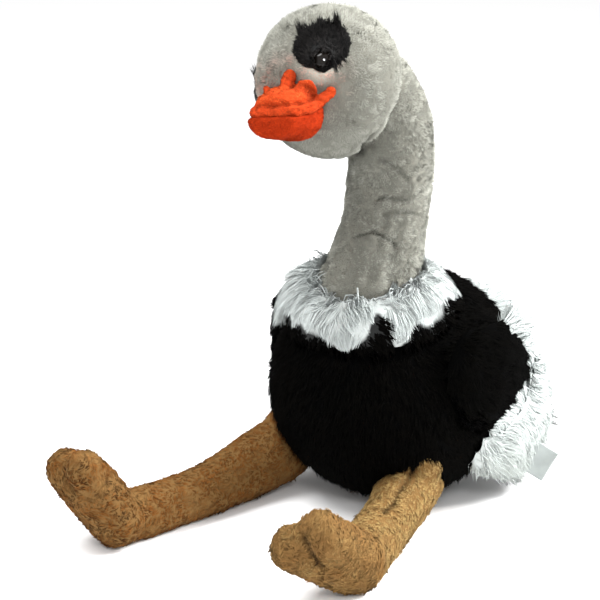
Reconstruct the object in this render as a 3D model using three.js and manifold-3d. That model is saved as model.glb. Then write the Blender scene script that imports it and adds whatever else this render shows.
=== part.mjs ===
// A stuffed plush ostrich that sits on its seat with both legs stretched out in front.
// Millimetres, +Z up. The toy faces -Y and its left side is +X.
// Every solid runs out to the tips of its pile.
import * as THREE from 'three';
import { mergeVertices } from 'three/addons/utils/BufferGeometryUtils.js';
import Module from 'manifold-3d';

const wasm = await Module();
wasm.setup();

const v = (x, y, z) => new THREE.Vector3(x, y, z);
const rad = THREE.MathUtils.degToRad;
const lerp = THREE.MathUtils.lerp;

// ---- driving dimensions ----

const GAP = 0.3; // clearance between pieces that touch

const BODY = { centre: v(0, 0, 65), half: v(73, 81, 69) };

const HEAD = {
  centre: v(-10, -53, 248),
  radius: 39.5,
  nod: rad(2), // bill slightly down
  tilt: rad(-18), // towards the toy's right shoulder
};

// The neck leans back as it rises and then curls forward into the back of the head.
const NECK = {
  path: [
    v(0, -24, 100),
    v(0, -27, 132),
    v(0, -20, 154),
    v(0, -11, 176),
    v(0, -9, 198),
    v(-1, -10, 218),
    v(-4, -18, 235),
    v(-8, -38, 246),
  ],
  radii: [34, 31.5, 27.5, 25, 24.3, 24.3, 25, 24],
  splitHeight: 182,
};

// A ruff of long pile round the foot of the neck.
const COLLAR = { centre: v(-1, -26, 118), half: v(56, 51, 27), tilt: rad(15) };

// A wing is a flat stuffed flap along the upper side of the body.
const WING = {
  path: [v(60, -40, 86), v(71, -16, 86), v(72, 10, 82), v(66, 32, 77), v(57, 48, 73)],
  halfHeight: [28, 35, 35, 27, 12],
  halfThickness: 8,
};

// Long white pile that hangs out from under each wing, against the body.
const FRINGE = {
  path: [v(60, -22, 55), v(70, 4, 54), v(71, 31, 52), v(66, 53, 49), v(60, 70, 45)],
  halfHeight: [22, 33, 39, 33, 19],
  halfThickness: 7,
};

const TAIL = { centre: v(0, 82, 76), half: v(33, 29, 31) };

// lean is how far a foot tips forward from upright, roll how far it falls outwards.
const LEG = { thighRadius: 19, shinRadius: 14, heelHeight: 13.6, sag: 6 };
const LEGS = [
  { side: 'right', hip: v(-44, -36, 25), heel: v(-63, -163, 0), lean: 31, roll: 14, girth: 1.03 },
  { side: 'left', hip: v(31, -18, 26), heel: v(67, -121, 0), lean: 44, roll: 36, girth: 1.08 },
];

// Each foot is a flat stuffed pad that stands up from the heel and ends in two toes.
const FOOT = {
  length: 43,
  heelLength: 13,
  halfWidth: 20.5,
  halfThickness: 15,
  toeSpread: 9,
  toeRadius: 12.5,
};

// The bill and the eyes are measured in the head's own frame: its centre is the origin,
// the bill points along -Y, and the toy's left is +X.
const BILL = {
  path: [v(0, -22, -13), v(0, -38, -13), v(0, -53, -14.6), v(0, -64, -15.8)],
  halfWidth: [15, 17.5, 18, 16],
  halfHeight: [14, 14.6, 10.6, 7],
  mouthHeight: -15.4,
};

const FINGER_RADIUS = 2.9;
const FINGERS = [
  { name: 'bill_finger_middle', path: [v(3.4, -51, -2.4), v(4.8, -46, 2.5), v(6, -40.5, 11.5)] },
  { name: 'bill_finger_left', path: [v(12, -41, -11.5), v(17.5, -37, -9), v(26.5, -31.5, -5.5)] },
  { name: 'bill_finger_right', path: [v(-12, -41, -11.5), v(-18, -37.5, -8), v(-26, -32, -3)] },
];

const FLAP = { halfWidth: 6, halfThickness: 2.2 };
const FLAPS = [
  { name: 'bill_flap_left', path: [v(9, -45, -6), v(13, -41.5, -1.5), v(16.5, -38, 3)] },
  { name: 'bill_flap_right', path: [v(-9, -45, -4), v(-11.5, -41.5, 1.5), v(-14, -38.5, 8.5)] },
];

const EYE = { radius: 5.2, rise: 1.5, patchHalf: v(16.5, 16.5, 6.5) };
const EYES = [
  { side: 'left', eye: v(24.2, -30, 9.8), patch: v(23.5, -26.6, 18.4) },
  { side: 'right', eye: v(-33.5, -20, 1), patch: v(-36.5, -7, 3.5) },
];

const TAG = {
  at: v(77.2, 35, 22.1),
  size: v(16.5, 19, 1),
  outward: v(0.75, 0.43, -0.5),
  along: v(-0.32, -0.54, -0.79),
};

// ---- materials ----

const fabric = (color, roughness) =>
  new THREE.MeshStandardMaterial({ color, roughness, metalness: 0 });
const greyPlush = fabric(0xa9a89c, 0.95);
const blackPlush = fabric(0x16150f, 0.95);
const whiteFur = fabric(0xdfe4e0, 0.9);
const tanPlush = fabric(0xa87c48, 0.95);
const orangeVelour = fabric(0xe2491e, 0.9);
const lashFur = fabric(0x0e0d0c, 0.85);
const eyePlastic = new THREE.MeshStandardMaterial({ color: 0x050505, roughness: 0.08 });
const tagRibbon = fabric(0xdcdfdd, 0.8);

// ---- shapes ----

function ball(centre, half, { sides = 28, rows = 18, turn = new THREE.Euler() } = {}) {
  const geometry = new THREE.SphereGeometry(1, sides, rows);
  geometry.rotateX(Math.PI / 2);
  geometry.scale(half.x, half.y, half.z);
  geometry.applyQuaternion(new THREE.Quaternion().setFromEuler(turn));
  return geometry.translate(centre.x, centre.y, centre.z);
}

// The value at t from 0 to 1 along a list of evenly spaced values.
function along(values, t) {
  const place = t * (values.length - 1);
  const i = Math.min(Math.floor(place), values.length - 2);
  return lerp(values[i], values[i + 1], place - i);
}

// A closed tube with rounded ends: the rows of a sphere laid along a curve.
// across is the direction in which the tube's width is measured.
function stuffedTube({ path, halfWidth, halfDepth, across, cap = 0.12, sides = 12, rows = 12 }) {
  const curve = new THREE.CatmullRomCurve3(path, false, 'centripetal');
  const geometry = new THREE.SphereGeometry(1, sides, rows);
  const points = geometry.attributes.position;
  const capRows = 4;
  const p = new THREE.Vector3();
  for (let i = 0; i < points.count; i++) {
    p.fromBufferAttribute(points, i);
    const row = Math.round((Math.acos(THREE.MathUtils.clamp(p.y, -1, 1)) / Math.PI) * rows);
    const fromEnd = Math.min(row, rows - row);
    let t = lerp(cap, 1 - cap, (row - capRows) / (rows - 2 * capRows));
    let swell = 1;
    if (fromEnd < capRows) {
      const turn = (fromEnd / capRows) * (Math.PI / 2);
      const inset = cap * (1 - Math.cos(turn));
      t = row < capRows ? inset : 1 - inset;
      swell = Math.sin(turn);
    }
    const tangent = curve.getTangentAt(t);
    const side = across.clone().addScaledVector(tangent, -across.dot(tangent)).normalize();
    const normal = new THREE.Vector3().crossVectors(tangent, side);
    const angle = Math.atan2(p.z, p.x);
    const atPole = fromEnd === 0;
    const wide = atPole ? 0 : swell * along(halfWidth, t) * Math.cos(angle);
    const deep = atPole ? 0 : swell * along(halfDepth, t) * Math.sin(angle);
    p.copy(curve.getPointAt(t)).addScaledVector(side, wide).addScaledVector(normal, deep);
    points.setXYZ(i, p.x, p.y, p.z);
  }
  return geometry;
}

// ---- solids ----

function welded(geometry) {
  const bare = geometry.clone();
  bare.deleteAttribute('normal');
  bare.deleteAttribute('uv');
  return mergeVertices(bare, 1e-4);
}

function solid(geometry) {
  const shell = welded(geometry);
  return new wasm.Manifold(
    new wasm.Mesh({
      numProp: 3,
      vertProperties: new Float32Array(shell.attributes.position.array),
      triVerts: new Uint32Array(shell.index.array),
    }),
  );
}

// The same shape with every point moved outwards by the clearance.
function grown(geometry, distance = GAP) {
  const shell = welded(geometry);
  shell.computeVertexNormals();
  const points = shell.attributes.position;
  const normals = shell.attributes.normal;
  for (let i = 0; i < points.count; i++) {
    points.setXYZ(
      i,
      points.getX(i) + distance * normals.getX(i),
      points.getY(i) + distance * normals.getY(i),
      points.getZ(i) + distance * normals.getZ(i),
    );
  }
  return shell;
}

const join = (shapes) => shapes.map(solid).reduce((a, b) => a.add(b));
const cut = (whole, ...shapes) =>
  shapes.flat().reduce((left, shape) => left.subtract(solid(grown(shape))), whole);

function slab(low, high) {
  const size = high.clone().sub(low);
  const middle = low.clone().add(high).multiplyScalar(0.5);
  return new THREE.BoxGeometry(size.x, size.y, size.z).translate(middle.x, middle.y, middle.z);
}

const FAR = 500;
const under = (height) => solid(slab(v(-FAR, -FAR, -FAR), v(FAR, FAR, height)));
const over = (height) => solid(slab(v(-FAR, -FAR, height), v(FAR, FAR, FAR)));
const aboveFloor = over(0);

// Adds a solid to a group as a mesh whose own origin is the middle of its box.
function addPiece(group, name, whole, material) {
  const mesh3d = whole.getMesh();
  const geometry = new THREE.BufferGeometry();
  geometry.setAttribute('position', new THREE.BufferAttribute(mesh3d.vertProperties, 3));
  geometry.setIndex(new THREE.BufferAttribute(mesh3d.triVerts, 1));
  geometry.computeBoundingBox();
  const middle = geometry.boundingBox.getCenter(new THREE.Vector3());
  geometry.translate(-middle.x, -middle.y, -middle.z);
  const mesh = new THREE.Mesh(geometry, material);
  mesh.name = name;
  mesh.position.copy(middle);
  group.add(mesh);
  return mesh;
}

// ---- raw shapes that neighbours are cut by ----

const bodyShape = ball(BODY.centre, BODY.half, { sides: 26, rows: 18 });

const headGroup = new THREE.Group();
headGroup.position.copy(HEAD.centre);
headGroup.rotation.set(HEAD.nod, HEAD.tilt, 0);
headGroup.updateMatrix();
const headBall = ball(v(0, 0, 0), v(HEAD.radius, HEAD.radius, HEAD.radius), { sides: 24, rows: 16 });
const headShape = headBall.clone().applyMatrix4(headGroup.matrix);

const neckShape = stuffedTube({
  path: NECK.path,
  halfWidth: NECK.radii,
  halfDepth: NECK.radii,
  across: v(1, 0, 0),
  sides: 16,
  rows: 18,
});

const collarShape = ball(COLLAR.centre, COLLAR.half, {
  sides: 22,
  rows: 10,
  turn: new THREE.Euler(COLLAR.tilt, 0, 0),
});

const tailShape = ball(TAIL.centre, TAIL.half, { sides: 14, rows: 10 });

function wingShape({ path, halfHeight, halfThickness }, side) {
  const mirror = side === 'left' ? 1 : -1;
  return stuffedTube({
    path: path.map((p) => v(p.x * mirror, p.y, p.z)),
    halfWidth: halfHeight,
    halfDepth: halfHeight.map(() => halfThickness),
    across: v(0, 0, 1),
    cap: 0.16,
    sides: 14,
    rows: 12,
  });
}

function legShapes({ hip, heel, lean, roll, girth }) {
  const heelCentre = v(heel.x, heel.y, LEG.heelHeight * girth);
  const forward = heelCentre.clone().sub(hip).setZ(0).normalize();
  const inward = v(forward.y, -forward.x, 0);
  const up = v(0, 0, 1).applyAxisAngle(forward, rad(roll));
  const reach = LEG.shinRadius * girth * 0.55;
  const legEnd = heelCentre.clone().addScaledVector(forward, reach);
  const knee = hip.clone().lerp(heelCentre, 0.5).sub(v(0, 0, LEG.sag));
  const radii = [LEG.thighRadius, LEG.shinRadius, LEG.shinRadius].map((r) => r * girth);
  const leg = stuffedTube({
    path: [hip, knee, legEnd],
    halfWidth: radii,
    halfDepth: radii,
    across: inward,
  });
  const toesWay = forward.clone().multiplyScalar(Math.sin(rad(lean)));
  toesWay.addScaledVector(up, Math.cos(rad(lean)));
  const across = new THREE.Vector3().crossVectors(toesWay, forward).normalize();
  const sole = heelCentre.clone().addScaledVector(forward, reach * 0.6);
  const heelBack = sole.clone().addScaledVector(toesWay, -FOOT.heelLength);
  const toesAt = sole.clone().addScaledVector(toesWay, FOOT.length);
  const foot = stuffedTube({
    path: [heelBack, sole, toesAt],
    halfWidth: [FOOT.halfWidth * 0.85, FOOT.halfWidth, FOOT.halfWidth],
    halfDepth: [FOOT.halfThickness, FOOT.halfThickness, FOOT.halfThickness],
    across,
    cap: 0.2,
  });
  const toeHalf = v(FOOT.toeRadius, FOOT.toeRadius, FOOT.toeRadius);
  const toes = [-1, 1].map((s) => {
    const centre = toesAt.clone().addScaledVector(toesWay, -4);
    centre.addScaledVector(across, s * FOOT.toeSpread);
    return ball(centre, toeHalf, { sides: 9, rows: 6 });
  });
  return { leg, foot: [foot, ...toes] };
}

// ---- the toy ----

const toy = new THREE.Group();

addPiece(toy, 'body', solid(bodyShape).intersect(aboveFloor), blackPlush);

const neck = cut(solid(neckShape), bodyShape, headShape);
addPiece(toy, 'neck_lower', neck.intersect(under(NECK.splitHeight - GAP / 2)), greyPlush);
addPiece(toy, 'neck_upper', neck.intersect(over(NECK.splitHeight + GAP / 2)), greyPlush);
addPiece(toy, 'collar', cut(solid(collarShape), bodyShape, neckShape), whiteFur);
addPiece(toy, 'tail', cut(solid(tailShape), bodyShape), whiteFur);

const legs = LEGS.map((leg) => ({ ...leg, ...legShapes(leg) }));
for (const { side, leg, foot } of legs) {
  addPiece(toy, `leg_${side}`, cut(solid(leg), bodyShape, foot).intersect(aboveFloor), tanPlush);
  addPiece(toy, `foot_${side}`, join(foot).intersect(aboveFloor), tanPlush);
}

const fringes = [];
for (const { side, leg } of legs) {
  const wing = wingShape(WING, side);
  const fringe = wingShape(FRINGE, side);
  fringes.push(fringe);
  const around = [bodyShape, wing, collarShape, tailShape, leg];
  addPiece(toy, `wing_${side}`, cut(solid(wing), bodyShape, collarShape), blackPlush);
  addPiece(toy, `wing_fringe_${side}`, cut(solid(fringe), around), whiteFur);
}

const tagFace = new THREE.Vector3().crossVectors(TAG.outward, TAG.along).normalize();
const tagEdge = new THREE.Vector3().crossVectors(tagFace, TAG.outward).normalize();
const tagShape = new THREE.BoxGeometry(TAG.size.x, TAG.size.y, TAG.size.z)
  .applyMatrix4(new THREE.Matrix4().makeBasis(TAG.outward.clone().normalize(), tagEdge, tagFace))
  .translate(TAG.at.x, TAG.at.y, TAG.at.z);
addPiece(toy, 'tag', cut(solid(tagShape), bodyShape, fringes), tagRibbon);

// The head and all that is sewn on it, in the head's frame.

addPiece(headGroup, 'head', solid(headBall), greyPlush);

const billShape = stuffedTube({
  path: BILL.path,
  halfWidth: BILL.halfWidth,
  halfDepth: BILL.halfHeight,
  across: v(1, 0, 0),
  cap: 0.28,
  sides: 16,
  rows: 14,
});
const bill = cut(solid(billShape), headBall);
addPiece(headGroup, 'bill_upper', bill.intersect(over(BILL.mouthHeight + GAP / 2)), orangeVelour);
addPiece(headGroup, 'bill_lower', bill.intersect(under(BILL.mouthHeight - GAP / 2)), orangeVelour);

// The flaps and then the fingers are laid on the head and the bill, each cut by those before it.
const laid = [headBall, billShape];
for (const { name, path } of FLAPS) {
  const flap = stuffedTube({
    path,
    halfWidth: [FLAP.halfWidth * 0.9, FLAP.halfWidth, FLAP.halfWidth * 0.85],
    halfDepth: path.map(() => FLAP.halfThickness),
    across: v(0.7 * Math.sign(path[0].x), 0.4, -0.6),
    cap: 0.2,
    sides: 8,
    rows: 10,
  });
  addPiece(headGroup, name, cut(solid(flap), laid), orangeVelour);
  laid.push(flap);
}
for (const { name, path } of FINGERS) {
  const finger = stuffedTube({
    path,
    halfWidth: path.map(() => FINGER_RADIUS),
    halfDepth: path.map(() => FINGER_RADIUS),
    across: v(1, 0.3, 0),
    cap: 0.2,
    sides: 8,
    rows: 10,
  });
  addPiece(headGroup, name, cut(solid(finger), laid), orangeVelour);
  laid.push(finger);
}

for (const { side, eye, patch } of EYES) {
  const outward = patch.clone().normalize();
  const facing = new THREE.Euler().setFromQuaternion(
    new THREE.Quaternion().setFromUnitVectors(v(0, 0, 1), outward),
  );
  const eyeAt = eye.clone().setLength(HEAD.radius + EYE.rise);
  const eyeShape = ball(eyeAt, v(EYE.radius, EYE.radius, EYE.radius), { sides: 9, rows: 7 });
  const patchShape = ball(outward.multiplyScalar(HEAD.radius - 1), EYE.patchHalf, {
    sides: 12,
    rows: 7,
    turn: facing,
  });
  const patchCut = cut(solid(patchShape), laid, eyeShape);
  addPiece(headGroup, `eye_${side}`, cut(solid(eyeShape), headBall), eyePlastic);
  addPiece(headGroup, `eye_patch_${side}`, patchCut, lashFur);
}

toy.add(headGroup);

// The origin is the middle of the underside of the whole toy's box.
toy.updateMatrixWorld(true);
const box = new THREE.Box3().setFromObject(toy, true);
const ostrich = new THREE.Group();
toy.position.set(-(box.min.x + box.max.x) / 2, -(box.min.y + box.max.y) / 2, -box.min.z);
ostrich.add(toy);

export default ostrich;
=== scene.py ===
import math

import bmesh
import bpy
import numpy as np
from mathutils import Matrix, Vector
from mathutils.bvhtree import BVHTree
from mathutils.kdtree import KDTree


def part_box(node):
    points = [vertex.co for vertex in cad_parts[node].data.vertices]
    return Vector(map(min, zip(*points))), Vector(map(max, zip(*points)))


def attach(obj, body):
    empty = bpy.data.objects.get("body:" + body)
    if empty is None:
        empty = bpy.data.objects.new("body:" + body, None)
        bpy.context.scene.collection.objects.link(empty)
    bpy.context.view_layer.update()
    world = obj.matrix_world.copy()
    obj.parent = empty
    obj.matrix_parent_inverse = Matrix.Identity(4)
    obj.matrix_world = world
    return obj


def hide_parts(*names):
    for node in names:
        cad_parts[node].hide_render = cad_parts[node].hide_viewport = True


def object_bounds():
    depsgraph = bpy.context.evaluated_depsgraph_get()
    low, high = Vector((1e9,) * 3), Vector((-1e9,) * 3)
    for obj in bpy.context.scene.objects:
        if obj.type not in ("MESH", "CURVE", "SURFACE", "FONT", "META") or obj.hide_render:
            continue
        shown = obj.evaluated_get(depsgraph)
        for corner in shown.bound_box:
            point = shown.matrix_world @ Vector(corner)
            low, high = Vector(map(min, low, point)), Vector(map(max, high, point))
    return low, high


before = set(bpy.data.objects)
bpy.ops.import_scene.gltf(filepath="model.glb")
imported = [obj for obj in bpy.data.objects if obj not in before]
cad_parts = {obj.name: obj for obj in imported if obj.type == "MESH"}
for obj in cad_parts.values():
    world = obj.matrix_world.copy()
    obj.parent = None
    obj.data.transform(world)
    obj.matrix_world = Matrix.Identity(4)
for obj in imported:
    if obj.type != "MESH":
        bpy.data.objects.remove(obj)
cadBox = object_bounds()
scene = bpy.context.scene
mm = 0.001
boxMiddle = (cadBox[0] + cadBox[1]) / 2
print("frame loaded, box", [round(x, 4) for x in (cadBox[1] - cadBox[0])])


# objects and meshes

def addObject(name, data):
    obj = bpy.data.objects.new(name, data)
    scene.collection.objects.link(obj)
    return obj


def meshFrom(bm, name):
    # a finished bmesh as an object
    mesh = bpy.data.meshes.new(name)
    bm.to_mesh(mesh)
    bm.free()
    return addObject(name, mesh)


def finished(obj):
    # swaps the mesh for what the modifiers make of it
    mesh = bpy.data.meshes.new_from_object(obj.evaluated_get(bpy.context.evaluated_depsgraph_get()))
    obj.modifiers.clear()
    before = obj.data
    obj.data = mesh
    bpy.data.meshes.remove(before)
    mesh.name = obj.name
    return obj


def shadeSmooth(obj):
    obj.data.polygons.foreach_set("use_smooth", np.ones(len(obj.data.polygons), bool))
    obj.data.update()
    return obj


def pointAt(obj, place, target):
    obj.location = place
    obj.rotation_mode = "QUATERNION"
    obj.rotation_quaternion = (target - place).to_track_quat("-Z", "Y")


def meshPoints(mesh):
    points = np.zeros(len(mesh.vertices) * 3)
    mesh.vertices.foreach_get("co", points)
    return points.reshape(-1, 3)


def meshNormals(mesh):
    normals = np.zeros(len(mesh.vertices) * 3)
    mesh.vertices.foreach_get("normal", normals)
    return normals.reshape(-1, 3)


def addValues(mesh, attribute, values):
    there = mesh.attributes.get(attribute) or mesh.attributes.new(attribute, "FLOAT", "POINT")
    there.data.foreach_set("value", values.astype(np.float32))


def readValues(mesh, attribute):
    values = np.zeros(len(mesh.vertices))
    if attribute in mesh.attributes:
        mesh.attributes[attribute].data.foreach_get("value", values)
    return values


def spot(node, x, y, z):
    # a place in a CAD node's box, each share from 0 to 1
    low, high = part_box(node)
    return Vector([low[i] + (high[i] - low[i]) * share for i, share in enumerate((x, y, z))])


def middleOf(node):
    low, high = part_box(node)
    return (Vector(low) + Vector(high)) / 2


def route(*places):
    # a line through places in mm
    return [Vector(place) * mm for place in places]


def seamAt(width, depth, paintedShade, line, crease=False):
    # how wide and deep in mm, how much painted shade (below 0, painted light), and where. A crease
    # stays on the skin, wherever the filling has moved it.
    return {"line": line, "width": width * mm, "depth": depth * mm, "paintedShade": paintedShade, "crease": crease}


# shader nodes

def setInputs(node, values):
    for socket, value in values.items():
        node.inputs[socket].default_value = value


def colour(rgb):
    return (rgb[0], rgb[1], rgb[2], 1.0)


def newMaterial(name, values):
    # a material with its shader set, and the nodes and links to add to
    material = bpy.data.materials.new(name)
    material.use_nodes = True
    nodes, links = material.node_tree.nodes, material.node_tree.links
    shader = nodes["Principled BSDF"]
    setInputs(shader, values)
    return material, nodes, links, shader


def newGroup(name, inputs, outputs):
    group = bpy.data.node_groups.new(name, "ShaderNodeTree")
    for socket, kind in inputs:
        group.interface.new_socket(name=socket, in_out="INPUT", socket_type=kind)
    for socket, kind in outputs:
        group.interface.new_socket(name=socket, in_out="OUTPUT", socket_type=kind)
    return group, group.nodes.new("NodeGroupInput"), group.nodes.new("NodeGroupOutput")


def addNoise(nodes, links, scale, detail=2.0):
    # noise over the object, its scale a number or a socket
    place = nodes.new("ShaderNodeTexCoord")
    noise = nodes.new("ShaderNodeTexNoise")
    noise.inputs["Detail"].default_value = detail
    links.new(place.outputs["Object"], noise.inputs["Vector"])
    if isinstance(scale, float):
        noise.inputs["Scale"].default_value = scale
    else:
        links.new(scale, noise.inputs["Scale"])
    return noise.outputs["Fac"]


def addRange(nodes, links, value, low, high):
    # 0 to 1 between two values
    spread = nodes.new("ShaderNodeMapRange")
    setInputs(spread, {"From Min": low, "From Max": high})
    links.new(value, spread.inputs["Value"])
    return spread.outputs["Result"]


def addRamp(nodes, links, factor, *colours):
    ramp = nodes.new("ShaderNodeValToRGB")
    for element, rgb in zip(ramp.color_ramp.elements, colours):
        element.color = colour(rgb)
    links.new(factor, ramp.inputs["Fac"])
    return ramp.outputs["Color"]


def addBump(nodes, links, height, shader, strength, distance):
    bump = nodes.new("ShaderNodeBump")
    setInputs(bump, {"Strength": strength, "Distance": distance})
    links.new(height, bump.inputs["Height"])
    links.new(bump.outputs["Normal"], shader.inputs["Normal"])


def addMix(nodes, links, factor, a, b):
    mix = nodes.new("ShaderNodeMix")
    mix.data_type = "RGBA"
    links.new(factor, mix.inputs["Factor"])
    links.new(a, mix.inputs["A"])
    links.new(b, mix.inputs["B"])
    return mix.outputs["Result"]


def addMath(nodes, links, operation, a, b):
    step = nodes.new("ShaderNodeMath")
    step.operation = operation
    for i, value in enumerate((a, b)):
        if isinstance(value, float):
            step.inputs[i].default_value = value
        else:
            links.new(value, step.inputs[i])
    return step.outputs[0]


def addAttribute(nodes, name):
    node = nodes.new("ShaderNodeAttribute")
    node.attribute_name = name
    return node.outputs["Fac"]


# camera, light and floor

cameraLook = {"azimuth": 40.0, "elevation": 17.0, "distance": 0.85, "lens": 85.0,
              "near": 0.05, "far": 20.0, "aimFromMiddle": (-0.0479, 0.0181, -0.0341)}
lightLook = {
    "world": 1.02,
    "key": {"from": (0.85, 0.70, 0.90), "size": 0.6, "power": 42.0},
    "top": {"from": (-0.30, -0.35, 1.30), "size": 0.8, "power": 20.0},
    "fill": {"from": (0.65, -0.61, 0.78), "size": 0.3, "power": 3.0},
    "glints": {"from": ((0.60, -0.66, 0.80), (0.70, -0.57, 0.74)),
               "angle": 0.8, "power": 120.0, "size": 0.006},
}
floorLook = {"size": 6.0, "paint": (0.92, 0.92, 0.92)}


def addCamera(look):
    azimuth, elevation = math.radians(look["azimuth"]), math.radians(look["elevation"])
    aim = boxMiddle + Vector(look["aimFromMiddle"])
    back = Vector((
        math.sin(azimuth) * math.cos(elevation),
        -math.cos(azimuth) * math.cos(elevation),
        math.sin(elevation),
    ))
    camera = addObject("camera", bpy.data.cameras.new("camera"))
    camera.data.lens = look["lens"]
    camera.data.clip_start, camera.data.clip_end = look["near"], look["far"]
    pointAt(camera, aim + back * look["distance"], aim)
    scene.camera = camera


def addLights(look):
    world = bpy.data.worlds.new("studio")
    world.use_nodes = True
    setInputs(world.node_tree.nodes["Background"], {"Color": (1, 1, 1, 1), "Strength": look["world"]})
    scene.world = world
    for name in ("key", "top", "fill"):
        light = bpy.data.lights.new(name, "AREA")
        light.shape = "DISK"
        light.size = look[name]["size"]
        light.energy = look[name]["power"]
        pointAt(addObject(name, light), Vector(look[name]["from"]), boxMiddle)
    # two small narrow lamps for the eye
    glints = look["glints"]
    for i, place in enumerate(glints["from"]):
        lamp = bpy.data.lights.new("glint", "SPOT")
        lamp.spot_size = math.radians(glints["angle"])
        lamp.shadow_soft_size = glints["size"]
        lamp.energy = glints["power"]
        pointAt(addObject("glint" + str(i + 1), lamp), Vector(place), middleOf("eye_left"))


def addFloor(look):
    bm = bmesh.new()
    bmesh.ops.create_grid(bm, x_segments=1, y_segments=1, size=look["size"])
    floor = meshFrom(bm, "floor")
    paint = newMaterial("floorPaint", {"Base Color": colour(look["paint"]), "Roughness": 1.0,
                                       "Specular IOR Level": 0.0})[0]
    floor.data.materials.append(paint)


addCamera(cameraLook)
addLights(lightLook)
addFloor(floorLook)
scene.view_settings.view_transform = "Standard"
print("camera, floor and lights placed")


# vectors, a row for each point

def dot(a, b):
    return (a * b).sum(-1, keepdims=True)


def unit(a):
    return a / np.maximum(np.linalg.norm(a, axis=-1, keepdims=True), 1e-12)


def alongSurface(vectors, normals):
    return unit(vectors - normals * dot(vectors, normals))


def smoothStep(value, low, high):
    t = np.clip((value - low) / (high - low), 0, 1)
    return t * t * (3 - 2 * t)


def wander(points, size, seed, waves=6):
    # smooth random vectors, about -1 to 1, that change over the given size in metres
    rng = np.random.default_rng(seed)
    total = np.zeros((len(points), 3))
    for axis in range(3):
        for _ in range(waves):
            way = unit(rng.normal(size=3)) * (2 * math.pi / size) * rng.uniform(0.6, 1.5)
            total[:, axis] += np.sin(points @ way + rng.uniform(0, 6.28)) / math.sqrt(waves)
    return total


def treeOf(mesh):
    # for finding a surface's nearest point, or what is inside it
    bm = bmesh.new()
    bm.from_mesh(mesh)
    bmesh.ops.remove_doubles(bm, verts=bm.verts[:], dist=1e-5)
    tree = BVHTree.FromBMesh(bm)
    bm.free()
    return tree


trees = {name: treeOf(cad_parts[name].data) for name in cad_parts}


def isInside(point, tree):
    # an odd number of walls on the way out
    way, place, walls = Vector((0.31, 0.17, 0.93)).normalized(), Vector(point), 0
    while walls < 30:
        place = tree.ray_cast(place, way)[0]
        if place is None:
            break
        place = place + way * 1e-6
        walls += 1
    return walls % 2 == 1


def depthInside(points, *nodes):
    # metres inside some closed nodes, 0 outside them all
    deepest = np.zeros(len(points))
    for node in nodes:
        low, high = (np.array(corner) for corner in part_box(node))
        for i in np.nonzero(((points > low) & (points < high)).all(axis=1))[0]:
            if isInside(points[i], trees[node]):
                deepest[i] = max(deepest[i], trees[node].find_nearest(points[i])[3])
    return deepest


def fromLine(points, line):
    # distance from a path of places
    nearest = np.full(len(points), 1.0)
    for a, b in zip(line[:-1], line[1:]):
        a, b = np.array(a), np.array(b)
        t = np.clip((points - a) @ (b - a) / max((b - a) @ (b - a), 1e-12), 0, 1)
        nearest = np.minimum(nearest, np.linalg.norm(points - a - t[:, None] * (b - a), axis=1))
    return nearest


# skins

skinLook = {"aboveFloor": 0.0006, "inAndOut": (0.5, -0.53), "drawSteps": 3,
            "darkest": -0.9, "paintedShadeWidth": 0.8}


def skinFrom(name, nodes, look, seams=(), stubs=()):
    # one sewn skin from a few CAD nodes, drawn in by the depth of its pile. Stubs are balls that
    # carry it on inside its neighbour.
    bm = bmesh.new()
    for node in nodes:
        bm.from_mesh(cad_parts[node].data)
    bmesh.ops.remove_doubles(bm, verts=bm.verts[:], dist=1e-5)
    for place, radius in stubs:
        bmesh.ops.create_icosphere(bm, subdivisions=3, radius=radius, matrix=Matrix.Translation(place))
    return sewn(meshFrom(bm, name), look, seams)


def sewn(skin, look, seams=()):
    remesh = skin.modifiers.new("remesh", "REMESH")
    remesh.mode = "VOXEL"
    remesh.voxel_size = look["voxel"]
    finished(skin)
    drawIn(skin, look["depth"], look["rounds"])
    if "pressure" in look:
        puff(skin, look)
    smooth = skin.modifiers.new("smooth", "SUBSURF")
    smooth.levels = smooth.render_levels = 1
    finished(skin)
    for seam in seams:
        pressSeam(skin, seam)
    unwrap(skin)
    return shadeSmooth(skin)


def relax(points, edges, rounds):
    # evens out a surface and keeps its size
    count = np.maximum(np.bincount(edges.ravel(), minlength=len(points)), 1)[:, None]
    for step in range(rounds * 2):
        total = np.zeros_like(points)
        np.add.at(total, edges[:, 0], points[edges[:, 1]])
        np.add.at(total, edges[:, 1], points[edges[:, 0]])
        points = points + (total / count - points) * skinLook["inAndOut"][step % 2]
    return points


def movePoints(mesh, points):
    points[:, 2] = np.maximum(points[:, 2], skinLook["aboveFloor"])
    mesh.vertices.foreach_set("co", points.ravel())
    mesh.update()


def drawIn(skin, depth, rounds):
    edges = np.zeros(len(skin.data.edges) * 2, np.int32)
    skin.data.edges.foreach_get("vertices", edges)
    edges = edges.reshape(-1, 2)
    movePoints(skin.data, relax(meshPoints(skin.data), edges, rounds))
    for _ in range(skinLook["drawSteps"]):
        points = meshPoints(skin.data) - meshNormals(skin.data) * (depth / skinLook["drawSteps"])
        movePoints(skin.data, relax(points, edges, 1))


clothLook = {"quality": 5, "mass": 0.2, "stiffness": 12, "frames": 20}


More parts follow.
